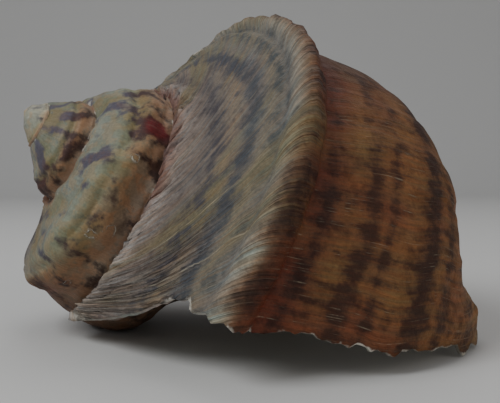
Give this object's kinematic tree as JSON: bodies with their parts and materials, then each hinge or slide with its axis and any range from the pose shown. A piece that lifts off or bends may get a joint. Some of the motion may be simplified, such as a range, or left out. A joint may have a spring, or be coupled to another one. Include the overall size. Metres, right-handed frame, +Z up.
{
  "type": "large turban sea shell",
  "caption": "Heavy coiled sea shell with a keeled last whorl, a knobby spire and a wide round mouth, lying mouth down.",
  "frame": {"origin": "centre of the bounding box at the surface the shell lies on", "axes": "+Z up, -X towards the raised apex, -Y towards the outer lip"},
  "size_m": [0.1546, 0.1496, 0.1096],
  "materials": {
    "shell": "semi-matte worn shell with a slight sheen, pearly inside"
  },
  "bodies": {
    "root": {"shell": "shell"}
  },
  "joints": []
}
